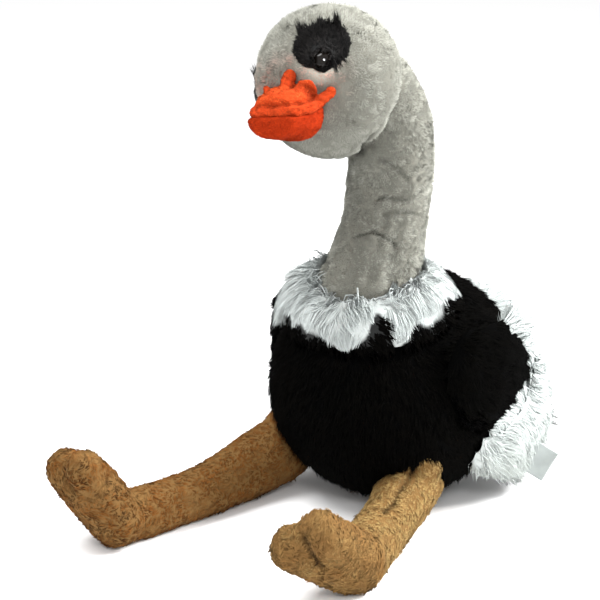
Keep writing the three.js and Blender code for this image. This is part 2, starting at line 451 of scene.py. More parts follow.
def puff(skin, look):
    # the filling swells the cover, and spare cloth in it wrinkles
    start = meshPoints(skin.data)
    cloth = skin.modifiers.new("filling", "CLOTH")
    settings = cloth.settings
    settings.quality = clothLook["quality"]
    settings.mass = clothLook["mass"]
    settings.use_pressure = True
    settings.uniform_pressure_force = look["pressure"]
    settings.shrink_min = -look["spareCloth"]
    settings.tension_stiffness = settings.compression_stiffness = clothLook["stiffness"]
    settings.bending_stiffness = look["bending"]
    settings.effector_weights.gravity = 0
    cloth.point_cache.frame_start, cloth.point_cache.frame_end = 1, clothLook["frames"]
    for step in range(1, clothLook["frames"] + 1):
        scene.frame_set(step)
    moved = meshPoints(skin.evaluated_get(bpy.context.evaluated_depsgraph_get()).data) - start
    moved[~np.isfinite(moved)] = 0
    far = np.linalg.norm(moved, axis=1, keepdims=True)
    skin.modifiers.clear()
    scene.frame_set(1)
    movePoints(skin.data, start + moved * np.minimum(1, look["cap"] / np.maximum(far, 1e-9)))
    print("  filled", skin.name, "largest move", round(float(far.max()) * 1000, 1), "mm")


def pressSeam(skin, seam):
    # a stitched line pulls the cloth in, and the pile in it is short, with painted shade in the crease
    line = seam["line"]
    if seam["crease"]:
        tree = treeOf(skin.data)
        line = [tree.find_nearest(place)[0] for place in line]
    away = fromLine(meshPoints(skin.data), line)
    near = np.exp(-(away / seam["width"]) ** 2)
    paintedShade = seam["paintedShade"] * np.exp(-(away / (seam["width"] * skinLook["paintedShadeWidth"])) ** 2)
    darker = readValues(skin.data, "shade") - paintedShade
    inward = meshNormals(skin.data) * (seam["depth"] * near[:, None])
    movePoints(skin.data, meshPoints(skin.data) - inward)
    addValues(skin.data, "shade", np.maximum(darker, skinLook["darkest"]))


def unwrap(skin):
    bpy.ops.object.select_all(action="DESELECT")
    bpy.context.view_layer.objects.active = skin
    skin.select_set(True)
    bpy.ops.object.mode_set(mode="EDIT")
    bpy.ops.mesh.select_all(action="SELECT")
    bpy.ops.uv.smart_project(angle_limit=math.radians(66), island_margin=0.01)
    bpy.ops.object.mode_set(mode="OBJECT")
    skin.data.uv_layers.active.name = "skinMap"
    skin.select_set(False)


def paintMark(skin, markAt):
    # where the second colour goes, on the skin as on its pile
    addValues(skin.data, "mark", markAt(meshPoints(skin.data)))


# pile

# how much a shaded tuft is shorter, how its thickness varies and tapers, how far a curl rises, how
# wide a tuft is on its texture patch
tuftLook = {"shadeShort": 0.8, "thickness": (0.75, 1.25), "thickest": 0.3, "curlRise": 0.6,
            "darkest": -0.95, "aboveFloor": 0.0002, "patch": 0.003}
# how the partings between locks wander, and where they are clear and where faint
lockLook = {"wanderOver": 1.2, "wander": 0.35, "gap": 0.5,
            "clearOver": 5, "clear": (-0.8, 0.5), "faint": 0.3}


def scatterRoots(skin, count, rng):
    # even random places on the skin: where, the normal there, and the unwrap there
    mesh = skin.data
    mesh.calc_loop_triangles()
    triangles = np.zeros(len(mesh.loop_triangles) * 3, np.int32)
    mesh.loop_triangles.foreach_get("vertices", triangles)
    loops = np.zeros(len(mesh.loop_triangles) * 3, np.int32)
    mesh.loop_triangles.foreach_get("loops", loops)
    triangles, loops = triangles.reshape(-1, 3), loops.reshape(-1, 3)
    points, normals = meshPoints(mesh), meshNormals(mesh)
    unwrapped = np.zeros(len(mesh.loops) * 2)
    mesh.uv_layers["skinMap"].data.foreach_get("uv", unwrapped)
    unwrapped = unwrapped.reshape(-1, 2)
    a, b, c = (points[triangles[:, i]] for i in range(3))
    area = np.linalg.norm(np.cross(b - a, c - a), axis=1) / 2
    reach = np.cumsum(area) / area.sum()
    chosen = np.searchsorted(reach, (np.arange(count) + rng.random(count)) / count)
    chosen = np.minimum(chosen, len(area) - 1)
    u, v = rng.random((2, count, 1))
    u, v = np.where(u + v > 1, 1 - u, u), np.where(u + v > 1, 1 - v, v)
    w = 1 - u - v

    def blend(values, corners):
        picked = corners[chosen]
        return values[picked[:, 0]] * w + values[picked[:, 1]] * u + values[picked[:, 2]] * v

    shade = readValues(mesh, "shade")[:, None]
    found = [blend(values, triangles) for values in (points, normals, shade)]
    return found[0], unit(found[1]), blend(unwrapped, loops), found[2][:, 0], area.sum()


def growPile(name, skin, look, flow, keep=None, lengthAt=None, liftAt=None, markAt=None, partAt=None):
    # solid three-sided tufts that taper to a point and lean along the flow
    rng = np.random.default_rng(look["seed"])
    roots, normals, places, shade, area = scatterRoots(skin, look["count"], rng)
    if keep is not None:
        kept = keep(roots, normals)
        roots, normals, places, shade = roots[kept], normals[kept], places[kept], shade[kept]
        area = area * kept.mean()
    count, steps = len(roots), look["steps"]
    leaders, apart = locksOf(roots, area, look["lock"], look["seed"])
    lean = alongSurface(flow(roots, normals), normals)
    lean = alongSurface(lean + rng.normal(size=(count, 3)) * look["stray"], normals)
    length = look["length"] * rng.uniform(1 - look["vary"], 1 + look["vary"], (count, 1))
    length = length * (1 - look["partShort"] * (1 - apart[:, None]))
    length = length * (1 + shade[:, None] * tuftLook["shadeShort"])
    if lengthAt is not None:
        length = length * lengthAt(roots, normals)[:, None]
    lift = look["lift"] + rng.normal(size=(count, 1)) * look["liftVary"]
    if liftAt is not None:
        lift = lift + liftAt(roots, normals)[:, None]
    way = unit(lean * np.cos(lift) + normals * np.sin(lift))
    across = unit(np.cross(way, normals))
    s = np.linspace(0, 1, steps + 1)[None, :, None]
    bend = np.array((0, 0, -1.0)) * look.get("droop", 0) - normals * look.get("hug", 0)
    line = roots[:, None] - normals[:, None] * look["sink"]
    line = line + length[:, None] * (way[:, None] * s + bend[:, None] * s**2)
    if "curl" in look:
        turn = s * look["turns"] * 2 * math.pi + rng.uniform(0, 6.28, (count, 1, 1))
        swing = look["curl"] * length[:, None] * s
        rise = normals[:, None] * np.cos(turn) * tuftLook["curlRise"]
        line = line + swing * (across[:, None] * np.sin(turn) + rise)
    line = gathered(line, leaders, look["pull"], look["pullCurve"])
    if "bunch" in look:
        bunches = locksOf(roots, area, look["bunch"], look["seed"] + 5)[0]
        line = gathered(line, bunches, look["bunchPull"], look["pullCurve"])
    thick = look["width"] * rng.uniform(*tuftLook["thickness"], (count, 1, 1))
    thick = thick * np.interp(s, (0, tuftLook["thickest"], 1), (look["rootWidth"], 1.0, 0.0))
    ahead = np.gradient(line, axis=1) if steps > 1 else np.repeat(line[:, 1:] - line[:, :1], 2, axis=1)
    side = unit(np.cross(ahead, normals[:, None]))
    rise = unit(np.cross(side, ahead))
    corners = [side * 0.5, rise * look["flat"], side * -0.5]
    rings = np.stack([line + corner * thick for corner in corners], axis=2)[:, :-1]
    vertices = np.concatenate([rings.reshape(count, -1, 3), line[:, -1:]], axis=1)
    vertices[:, :, 2] = np.maximum(vertices[:, :, 2], tuftLook["aboveFloor"])
    # the tufts catch light partly as the skin under them does
    facing = np.stack([unit(corner) for corner in corners], axis=2)[:, :-1] * (1 - look["soft"])
    facing = facing + normals[:, None, None] * look["soft"]
    facing = unit(np.concatenate([facing.reshape(count, -1, 3), normals[:, None]], axis=1))
    # each tuft's shade: the painted shade of the skin under it, its own random tone, and painted shade in
    # the partings between locks
    if partAt is not None:
        apart = 1 - (1 - apart) * partAt(roots)
    shade = shade + (rng.random(count) - 0.5) * look["mottle"] - look["partShade"] * (1 - apart)
    values = {
        "shade": np.maximum(shade, tuftLook["darkest"]),
        "mark": np.zeros(count) if markAt is None else markAt(roots),
    }
    return tuftObject(name, vertices, facing, places, values, steps)


def locksOf(roots, area, size, seed):
    # each tuft's leader, and 0 on a parting between two locks to 1 away from it
    rng = np.random.default_rng(seed)
    leaders = rng.choice(len(roots), max(2, int(area / size**2)), replace=False)
    tree = KDTree(len(leaders))
    for i, leader in enumerate(leaders):
        tree.insert(roots[leader], i)
    tree.balance()
    asked = roots + wander(roots, size * lockLook["wanderOver"], seed + 1) * size * lockLook["wander"]
    found = [tree.find_n(point, 2) for point in asked]
    mine = leaders[[pair[0][1] for pair in found]]
    gap = np.array([pair[1][2] - pair[0][2] for pair in found])
    clear = smoothStep(wander(roots, size * lockLook["clearOver"], seed + 2)[:, 0], *lockLook["clear"])
    clear = lockLook["faint"] + (1 - lockLook["faint"]) * clear
    return mine, 1 - (1 - smoothStep(gap, 0, size * lockLook["gap"])) * clear


def gathered(line, leaders, share, curve):
    # tufts lean together towards their leader
    pull = share * np.linspace(0, 1, line.shape[1])[None, :, None] ** curve
    return line * (1 - pull) + line[leaders] * pull


def tuftFaces(steps):
    # a tuft's faces and where they fall on its patch: the root's cap, the sides and the tip
    tip = steps * 3
    faces, flat = [(0, 1, 2)], [((0, 0), (1, 0), (0.5, 0.15))]
    for ring in range(steps):
        low, high = ring / steps, (ring + 1) / steps
        for corner in range(3):
            a, b = ring * 3 + corner, ring * 3 + (corner + 1) % 3
            left, right = corner / 3, (corner + 1) / 3
            if ring == steps - 1:
                faces.append((b, a, tip))
                flat.append(((right, low), (left, low), ((left + right) / 2, 1)))
            else:
                faces += [(b, a, a + 3), (b, a + 3, b + 3)]
                flat.append(((right, low), (left, low), (left, high)))
                flat.append(((right, low), (left, high), (right, high)))
    return np.array(faces), np.array(flat).reshape(1, -1, 2) - 0.5


def tuftObject(name, vertices, facing, places, values, steps):
    count, each = vertices.shape[:2]
    faces, flat = tuftFaces(steps)
    corners = (faces[None] + (np.arange(count) * each)[:, None, None]).reshape(-1)
    mesh = bpy.data.meshes.new(name)
    mesh.vertices.add(count * each)
    mesh.vertices.foreach_set("co", vertices.astype(np.float32).ravel())
    mesh.loops.add(len(corners))
    mesh.loops.foreach_set("vertex_index", corners.astype(np.int32))
    mesh.polygons.add(len(corners) // 3)
    mesh.polygons.foreach_set("loop_start", np.arange(0, len(corners), 3, dtype=np.int32))
    mesh.polygons.foreach_set("use_smooth", np.ones(len(corners) // 3, bool))
    mesh.update(calc_edges=True)
    mesh.normals_split_custom_set_from_vertices(facing.reshape(-1, 3).astype(np.float32))
    mapped = np.clip(places[:, None] + flat * tuftLook["patch"], 0, 1)
    mesh.uv_layers.new(name="OFBake").data.foreach_set("uv", mapped.ravel())
    addValues(mesh, "along", np.tile(np.append(np.repeat(np.arange(steps) / steps, 3), 1.0), count))
    for attribute, value in values.items():
        addValues(mesh, attribute, np.repeat(value, each))
    print("  grew", name, count, "tufts", len(corners) // 3, "triangles")
    return addObject(name, mesh)


# materials

def pileShadeGroup():
    # colour from root to tip, the darker root being painted shade deep in the pile and on the bare cloth
    # between tufts; cloudy patches; the mark colour; and each tuft's shade, its own tone with painted
    # shade added
    colours = ("Root", "Tip", "Patch", "Mark")
    amounts = ("Patch Size", "Patch Amount", "Mark Amount")
    group, given, out = newGroup(
        "pileShade",
        [(name, "NodeSocketColor") for name in colours] + [(name, "NodeSocketFloat") for name in amounts],
        [("Color", "NodeSocketColor")],
    )
    nodes, links, given = group.nodes, group.links, given.outputs
    cloud = addRange(nodes, links, addNoise(nodes, links, given["Patch Size"], 3.0), 0.4, 0.62)
    cloudShare = addMath(nodes, links, "MULTIPLY", cloud, given["Patch Amount"])
    markShare = addMath(nodes, links, "MULTIPLY", addAttribute(nodes, "mark"), given["Mark Amount"])
    tips = addMix(nodes, links, cloudShare, given["Tip"], given["Patch"])
    tips = addMix(nodes, links, markShare, tips, given["Mark"])
    along = addRange(nodes, links, addAttribute(nodes, "along"), 0.0, 0.75)
    base = addMix(nodes, links, along, given["Root"], tips)
    shaded = nodes.new("ShaderNodeVectorMath")
    shaded.operation = "SCALE"
    links.new(base, shaded.inputs[0])
    links.new(addMath(nodes, links, "ADD", addAttribute(nodes, "shade"), 1.0), shaded.inputs["Scale"])
    links.new(shaded.outputs[0], out.inputs["Color"])
    return group


def knitBumpGroup():
    # cloth between the tufts: a fine grain over a coarser one
    group, given, out = newGroup(
        "knitBump",
        [("Fine", "NodeSocketFloat"), ("Coarse", "NodeSocketFloat")],
        [("Height", "NodeSocketFloat")],
    )
    nodes, links = group.nodes, group.links
    grains = [addNoise(nodes, links, given.outputs[size]) for size in ("Fine", "Coarse")]
    links.new(addMath(nodes, links, "ADD", *grains), out.inputs["Height"])
    return group


pileShade = pileShadeGroup()
knitBump = knitBumpGroup()


def pileMaterial(name, look):
    material, nodes, links, shader = newMaterial(name, {
        "Roughness": look["roughness"], "Specular IOR Level": look["shine"], "Sheen Weight": look["sheen"],
        "Sheen Roughness": 0.5, "Sheen Tint": colour(look["tip"]),
    })
    shade = nodes.new("ShaderNodeGroup")
    shade.node_tree = pileShade
    setInputs(shade, {
        "Root": colour(look["root"]), "Tip": colour(look["tip"]), "Patch": colour(look["patch"]),
        "Mark": colour(look.get("mark", look["tip"])), "Mark Amount": 1.0,
        "Patch Size": look["patchSize"], "Patch Amount": look["patchAmount"],
    })
    links.new(shade.outputs["Color"], shader.inputs["Base Color"])
    knit = nodes.new("ShaderNodeGroup")
    knit.node_tree = knitBump
    setInputs(knit, {"Fine": look.get("fine", 1400.0), "Coarse": look.get("coarse", 420.0)})
    addBump(nodes, links, knit.outputs["Height"], shader, look.get("bump", 0.3), 0.4 * mm)
    return material


# each pile's root colour, darker than its tip, is painted shade down in the pile
greyPlush = pileMaterial("greyPlush", {
    "root": (0.155, 0.153, 0.129), "tip": (0.31, 0.313, 0.275), "patch": (0.275, 0.276, 0.240),
    "mark": (0.36, 0.21, 0.17), "patchSize": 70.0, "patchAmount": 0.5,
    "roughness": 0.95, "shine": 0.04, "sheen": 0.3,
})
blackPlush = pileMaterial("blackPlush", {
    "root": (0.0007, 0.0007, 0.0007), "tip": (0.0018, 0.0016, 0.0013), "patch": (0.001, 0.001, 0.0009),
    "patchSize": 40.0, "patchAmount": 0.5, "roughness": 0.85, "shine": 0.016, "sheen": 0.0,
})
wingPlush = pileMaterial("wingPlush", {
    "root": (0.0004, 0.0004, 0.0004), "tip": (0.0014, 0.0013, 0.0010), "patch": (0.0009, 0.0009, 0.0008),
    "mark": (0.48, 0.51, 0.50), "patchSize": 40.0, "patchAmount": 0.5,
    "roughness": 0.85, "shine": 0.018, "sheen": 0.0,
})
# its mark colour is painted shade, laid on the lower fringes and the tail by lowerShade
whiteFur = pileMaterial("whiteFur", {
    "root": (0.45, 0.48, 0.47), "tip": (0.51, 0.55, 0.54), "patch": (0.48, 0.52, 0.51),
    "mark": (0.38, 0.41, 0.39), "patchSize": 60.0, "patchAmount": 0.4,
    "roughness": 0.6, "shine": 0.15, "sheen": 0.05,
})
# its mark colour goes on the feet and the far leg: partly their own browner tone, partly painted shade
tanPlush = pileMaterial("tanPlush", {
    "root": (0.145, 0.078, 0.026), "tip": (0.285, 0.193, 0.074), "patch": (0.27, 0.17, 0.062),
    "mark": (0.145, 0.05, 0.0095), "patchSize": 90.0, "patchAmount": 0.12,
    "roughness": 0.85, "shine": 0.06, "sheen": 0.1,
})
lashFur = pileMaterial("lashFur", {
    "root": (0.001, 0.001, 0.001), "tip": (0.005, 0.0043, 0.004), "patch": (0.002, 0.002, 0.002),
    "patchSize": 60.0, "patchAmount": 0.3, "roughness": 0.6, "shine": 0.07, "sheen": 0.0,
})
velour = {
    "root": (0.46, 0.045, 0.010), "tip": (0.69, 0.118, 0.029), "patch": (0.54, 0.070, 0.016),
    "mark": (0.33, 0.042, 0.0115), "patchSize": 420.0, "patchAmount": 0.6,
    "roughness": 0.95, "shine": 0.04, "sheen": 0.1, "bump": 0.9, "fine": 1700.0, "coarse": 600.0,
}
orangeVelour = pileMaterial("orangeVelour", velour)
lowerVelour = pileMaterial("lowerVelour", {
    **velour, "root": (0.29, 0.021, 0.0036), "tip": (0.40, 0.036, 0.0068), "patch": (0.35, 0.028, 0.005),
})
print("pile materials made")


def dress(piece, material, *nodes):
    piece.data.materials.clear()
    piece.data.materials.append(material)
    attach(piece, "root")
    if nodes:
        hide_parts(*nodes)
    return piece


def dressPadded(skin, look, material, *nodes, markAt=None):
    # a stuffed skin, the CAD nodes it stands for, and where its second colour goes
    if markAt is not None:
        paintMark(skin, markAt)
    dress(skin, material, *nodes)
    return skin


def addPile(name, skin, material, look, flow, **ways):
    return dress(growPile(name, skin, look, flow, **ways), material)


# body

bodyLook = {"voxel": 4 * mm, "depth": 2.8 * mm, "rounds": 4, "fill": 0.85,
            "pressure": 4.0, "cap": 3 * mm, "spareCloth": 0.02, "bending": 0.5}
bodyPile = {"count": 46000, "length": 8.5 * mm, "vary": 0.35, "lift": 0.5, "liftVary": 0.16,
            "stray": 0.3, "steps": 1, "hug": 0.15, "lock": 4.2 * mm, "pull": 0.5, "pullCurve": 1.0,
            "partShort": 0.2, "partShade": 0.2, "mottle": 0.6, "width": 1.5 * mm, "rootWidth": 0.8,
            "flat": 0.3, "sink": 0.6 * mm, "soft": 0.0, "seed": 11}


def bodyFlow(points, normals):
    return np.array((0, 0.35, -1.0)) + 0.35 * wander(points, 50 * mm, 3)


def bodyShown(points, normals):
    outer = points + normals * 6 * mm
    hidden = depthInside(outer, "collar", "wing_left", "wing_right") > 0.5 * mm
    return ~hidden & (points[:, 2] > 1.2 * mm)


# the body sits lower under the collar's near side
shoulderDent = seamAt(11, 4.5, 0.0, route((46, 50, 119), (50, 66, 116), (47, 78, 113)))
bodySkin = skinFrom("bodySkin", ["body"], bodyLook, [shoulderDent])
dressPadded(bodySkin, bodyLook, blackPlush, "body")
addPile("bodyPile", bodySkin, blackPlush, bodyPile, bodyFlow, keep=bodyShown)
print("body done")


# wings

wingLook = {"voxel": 3 * mm, "depth": 2.2 * mm, "rounds": 4, "fill": 0.4, "ragged": 2.6 * mm}
wingPile = {**bodyPile, "count": 16000, "vary": 0.4, "lift": 0.35, "liftVary": 0.14, "stray": 0.35,
            "hug": 0.1, "pull": 0.6, "seed": 21}
fringePile = {"count": 8200, "length": 15 * mm, "vary": 0.4, "lift": 0.24, "liftVary": 0.14,
              "stray": 0.35, "steps": 2, "droop": 0.08, "hug": 0.1, "lock": 4 * mm, "pull": 0.45,
              "pullCurve": 1.3, "bunch": 12 * mm, "bunchPull": 0.25, "partShort": 0.1,
              "partShade": 0.06, "mottle": 0.1, "width": 1.1 * mm, "rootWidth": 0.8,
              "flat": 0.3, "sink": 0.5 * mm, "soft": 0.0, "seed": 31}
# where the black ends and the white begins on a wing: height, then how far back
whiteBorder = ((48, 24), (60, 38), (70, 53), (80, 71), (89, 69), (102, 57), (110, 47), (120, 37))


def wingFlow(points, normals):
    return np.array((0, 0.8, -0.7)) + 0.3 * wander(points, 40 * mm, 5)


def fringeFlow(points, normals):
    high = smoothStep(points[:, 2], 85 * mm, 105 * mm)[:, None]
    return np.array((0, 0.9, -0.65)) + np.array((0, 0, 1.0)) * high + 0.25 * wander(points, 30 * mm, 7)


def fringeLift(points, normals):
    # the plume stands out at the top of the wing
    return 0.5 * smoothStep(points[:, 2], 88 * mm, 104 * mm)


def fringeLength(points, normals):
    top = smoothStep(points[:, 2], 85 * mm, 104 * mm)
    rear = smoothStep(points[:, 1], 72 * mm, 88 * mm)
    return 1 + 0.4 * top + 0.35 * rear * (1 - top)


def whiteOnWing(points):
    height, back = np.array(whiteBorder).T * mm
    ragged = wander(points, 6 * mm, 33)[:, 0] * wingLook["ragged"]
    past = points[:, 1] + ragged - np.interp(points[:, 2], height, back)
    return smoothStep(past, -0.5 * mm, 0.5 * mm)


def addWing(side):
    node = "wing_" + side
    skin = skinFrom("wingSkin_" + side, [node], wingLook)
    dressPadded(skin, wingLook, wingPlush, node, markAt=whiteOnWing)

    def outside(points, normals):
        return depthInside(points + normals * 3 * mm, "body") < 2 * mm

    def blackPart(points, normals):
        return (whiteOnWing(points) < 0.5) & outside(points, normals)

    def whitePart(points, normals):
        return (whiteOnWing(points - np.array((0, 2 * mm, 0))) > 0.5) & outside(points, normals)

    addPile("wingPile_" + side, skin, wingPlush, wingPile, wingFlow, keep=blackPart)
    addPile("wingFur_" + side, skin, whiteFur, {**fringePile, "seed": 34}, fringeFlow, keep=whitePart,
            lengthAt=fringeLength, liftAt=fringeLift)


for side in ("left", "right"):
    addWing(side)
print("wings done")


# white fringes behind the wings, and the tail

fringeLook = {"voxel": 3 * mm, "depth": 0.8 * mm, "rounds": 4, "fill": 0.4}
tailPile = {**fringePile, "count": 5000, "seed": 32}


def lowerShade(points):
    # painted shade: the white fur darker towards its lower parts
    return smoothStep(-points[:, 2], -62 * mm, -30 * mm)


def addWhite(name, node, pile):
    skin = skinFrom(name + "Skin", [node], fringeLook)
    dressPadded(skin, fringeLook, whiteFur, node, markAt=lowerShade)

    def shown(points, normals):
        return depthInside(points + normals * 2 * mm, "body", "wing_left", "wing_right") < 3 * mm

    addPile(name + "Fur", skin, whiteFur, pile, fringeFlow, keep=shown, markAt=lowerShade)


addWhite("fringeLeft", "wing_fringe_left", fringePile)
addWhite("fringeRight", "wing_fringe_right", fringePile)
addWhite("tail", "tail", tailPile)
print("white fringes and tail done")


# collar

collarLook = {"voxel": 3.5 * mm, "depth": 3 * mm, "rounds": 3, "fill": 0.5}
collarFur = {**fringePile, "count": 13800, "length": 25 * mm, "vary": 0.3, "lift": 0.16, "liftVary": 0.1,
             "stray": 0.2, "steps": 3, "droop": 0.14, "hug": 0.18, "lock": 3.2 * mm, "pull": 0.55,
             "bunch": 10 * mm, "bunchPull": 0.5, "partShade": 0.32, "mottle": 0.2, "width": 0.8 * mm,
             "seed": 41}
# the lower edge's slope and how ragged it is, then where it leaves its slope:
# degrees round from the front, how wide, how high
collarEdge = {
    "slope": 17.0, "ragged": 3.5 * mm,
    "tips": ((-78, 26, -19 * mm), (-12, 14, 1 * mm), (20, 10, -2 * mm), (42, 7, 9 * mm), (60, 9, -4 * mm)),
}
collarMiddle = np.array(middleOf("collar"))


def fromNeck(points):
    return (points - collarMiddle) * np.array((1, 1, 0))


def nearNeck(points):
    return smoothStep(-np.linalg.norm(fromNeck(points), axis=1), -42 * mm, -34 * mm)


def aboveEdge(points):
    # height over the ragged, sloping lower edge, where the longest tips end
    right, back = (points - collarMiddle)[:, :2].T
    around = np.degrees(np.arctan2(right, -back))
    edge = collarMiddle[2] + back * math.tan(math.radians(collarEdge["slope"]))
    edge = edge + collarEdge["ragged"] * wander(points * np.array((1, 1, 0.2)), 14 * mm, 43)[:, 0]
    for angle, wide, rise in collarEdge["tips"]:
        edge = edge + rise * np.exp(-(((around - angle) / wide) ** 2))
    return points[:, 2] - edge


def collarFlow(points, normals):
    fall = -0.9 + 1.4 * nearNeck(points)[:, None]
    return unit(fromNeck(points)) + np.array((0, 0, 1.0)) * fall + 0.3 * wander(points, 22 * mm, 9)


def collarShown(points, normals):
    return (depthInside(points, "body", "neck_lower") < 2.6 * mm) & (aboveEdge(points) > 0.5 * mm)


def collarLength(points, normals):
    # short enough to end at the lower edge, and short at the outer rim
    toEdge = np.maximum(aboveEdge(points), 0) * 0.95 + 1.5 * mm
    return np.clip(toEdge / collarFur["length"], 0.15, 1.3)


def collarLift(points, normals):
    # the fur stands up round the neck before it falls
    return 0.3 * nearNeck(points)


def collarBelow(points, normals):
    return (depthInside(points + normals * 2 * mm, "body") < 3 * mm) & (aboveEdge(points) < 1 * mm)


collarSkin = skinFrom("collarSkin", ["collar"], collarLook)
dressPadded(collarSkin, collarLook, whiteFur, "collar")
addPile("collarFur", collarSkin, whiteFur, collarFur, collarFlow, keep=collarShown,
        lengthAt=collarLength, liftAt=collarLift)
addPile("collarUnder", collarSkin, blackPlush, {**bodyPile, "count": 11000, "seed": 42}, bodyFlow,
        keep=collarBelow)
# the cloth is black below the edge
black = -0.98 * smoothStep(-aboveEdge(meshPoints(collarSkin.data)), -3 * mm, 0)
addValues(collarSkin.data, "shade", black)
print("collar done")


# neck and head

headLook = {"voxel": 3 * mm, "depth": 0.9 * mm, "rounds": 2, "fill": 0.85,
            "pressure": 3.0, "cap": 2 * mm, "spareCloth": 0.04, "bending": 0.4}
greyPile = {"count": 80000, "length": 2.4 * mm, "vary": 0.25, "lift": 1.05, "liftVary": 0.2,
            "stray": 0.8, "steps": 1, "hug": 0.1, "lock": 6.0 * mm, "pull": 0.14, "pullCurve": 1.0,
            "partShort": 0.7, "mottle": 0.16, "width": 0.76 * mm, "rootWidth": 0.9,
            "flat": 0.4, "sink": 0.3 * mm, "soft": 0.82}
headMiddle = middleOf("head")
headTurn = Matrix.Rotation(math.radians(2), 3, "X") @ Matrix.Rotation(math.radians(-18), 3, "Y")


def onHead(place):
    # from the head's own axes, in mm, with the face along -Y
    return headMiddle + headTurn @ (Vector(place) * mm)


neckSeams = [
    # a fuller chin with painted shade, painted shade on the cheek, and painted light on the neck
    seamAt(11, -2.2, 0.38, route((-24, -22, 219), (-16, -22, 214), (-6, -18, 211), (4, -8, 211))),
    seamAt(17, 0.0, 0.15, route((11, -37, 227), (24, -32, 234), (31, -23, 243), (33, -8, 240))),
    seamAt(50, 0.0, -0.12, route((8, 25, 115), (8, 28, 150), (6, 34, 185))),
    # the crease under the cheek, then folds across the neck, all with painted shade in them
    seamAt(3.2, 3.0, 0.82,
           route((-12, 8, 206), (-3.8, 12, 207.5), (10, 4, 212), (19.3, -6, 217.2),
                 (24.1, -2, 222.1), (26, 4, 228.3), (23, 13.5, 232), (25, 17, 240)), crease=True),
    seamAt(3.4, 0.6, 0.35, route((-6, 10, 205), (6, 7, 208), (15, 0, 213), (21, -2, 218)), crease=True),
    seamAt(1.4, 0.8, 0.62,
           route((13.6, 11.2, 181.3), (17.5, 14.3, 183.3), (21.2, 17.7, 181.8), (25.2, 21.7, 181.7),
                 (27.8, 26.5, 183), (28.7, 31.8, 185.6)), crease=True),
    seamAt(1.4, 0.8, 0.5,
           route((5.6, -0.8, 161.8), (10.8, 1.5, 163.9), (15.9, 4, 165.4), (21.9, 7.1, 162.9),
                 (26.8, 10.9, 157.8)), crease=True),
    seamAt(1.7, 0.7, 0.42,
           route((18.7, 11.1, 173.6), (23, 15.5, 175.1), (26.2, 20.5, 174.7), (28.8, 27.4, 172.7)),
           crease=True),
    seamAt(1.7, 0.6, 0.38,
           route((13.5, 13.4, 203.5), (18.3, 16.3, 202), (22.7, 19.7, 197), (25.5, 23.6, 192.2)),
           crease=True),
]


def greyFlow(points, normals):
    # back over the head, then down the neck
    below = float(headMiddle.z) - points[:, 2]
    onNeck = smoothStep(below, 5 * mm, 40 * mm)[:, None]
    lie = np.array((0, 1.0, -0.5)) * (1 - onNeck) + np.array((0, 0.1, -1.0)) * onNeck
    return lie + 0.6 * wander(points, 22 * mm, 13)


def greyShown(points, normals):
    # the pile goes on a little way under the collar's fur
    under = points + normals * 2 * mm + np.array((0, 0, 3 * mm))
    return (depthInside(points, "eye_patch_left", "eye_patch_right") < 1 * mm) & (
        depthInside(under, "collar") < 1 * mm)


def ofHead(points):
    return np.linalg.norm(points - np.array(headMiddle), axis=1) < 41 * mm


def headShown(points, normals):
    return ofHead(points) & greyShown(points, normals)


def neckShown(points, normals):
    return ~ofHead(points) & greyShown(points, normals)


def billBlush(points):
    # the pile is tinted round the root of the bill
    root = [onHead((x, -33, 1)) for x in (-16, 4, 20)]
    near = fromLine(points, root)
    patchy = 0.75 + 0.35 * wander(points, 9 * mm, 17)[:, 0]
    return np.clip(1.9 * np.exp(-(near / (12 * mm)) ** 2) * patchy, 0, 1)


headSkin = skinFrom("headSkin", ["head", "neck_upper", "neck_lower"], headLook, neckSeams)
dressPadded(headSkin, headLook, greyPlush, "head", "neck_lower", "neck_upper", markAt=billBlush)
for name, seed, shown, partShade in (("headPile", 51, headShown, 0.45), ("neckPile", 52, neckShown, 0.8)):
    addPile(name, headSkin, greyPlush, {**greyPile, "seed": seed, "partShade": partShade}, greyFlow,
            keep=shown, markAt=billBlush)
print("neck and head done")


# eyes

patchLook = {"voxel": 1.6 * mm, "depth": 1.2 * mm, "rounds": 2, "fill": 0.5,
             "lower": 0.25, "close": 0.9 * mm, "headRadius": 40 * mm}
patchPile = {"count": 6200, "length": 4.6 * mm, "vary": 0.45, "lift": 0.38, "liftVary": 0.2,
             "stray": 0.45, "steps": 2, "hug": 0.15, "lock": 1.8 * mm, "pull": 0.45, "pullCurve": 1.3,
             "partShort": 0.2, "partShade": 0.3, "mottle": 1.5, "width": 0.65 * mm, "rootWidth": 0.85,
             "flat": 0.3, "sink": 0.3 * mm, "soft": 0.0, "seed": 61}
lashHair = {**patchPile, "count": 120000, "length": 11 * mm, "steps": 5, "lift": 0.4, "lock": 2 * mm,
            "pull": 0.0, "width": 0.4 * mm, "hug": -0.12, "stray": 0.06, "seed": 63}
# across and up from the middle of the patch, the way each wisp goes, how wide and how long it is
lashWisps = (
    ((-10, 6), (0.3, 7.5), 0.6, 0.75), ((11.2, 2.3), (-1.6, 8.7), 0.6, 0.85),
    ((6, 7), (1.2, 6), 0.4, 0.45), ((-5, 8), (-1, 6), 0.4, 0.4), ((1, 8), (0.2, 6), 0.4, 0.4),
    ((-2, -10), (-1.4, -6.4), 0.3, 0.5), ((1, -10.4), (-0.6, -6.4), 0.3, 0.6),
    ((4, -10), (0.4, -6), 0.35, 0.62), ((6, -9.5), (1.0, -6), 0.3, 0.55),
    ((8, -8.5), (2, -5.5), 0.3, 0.45),
)
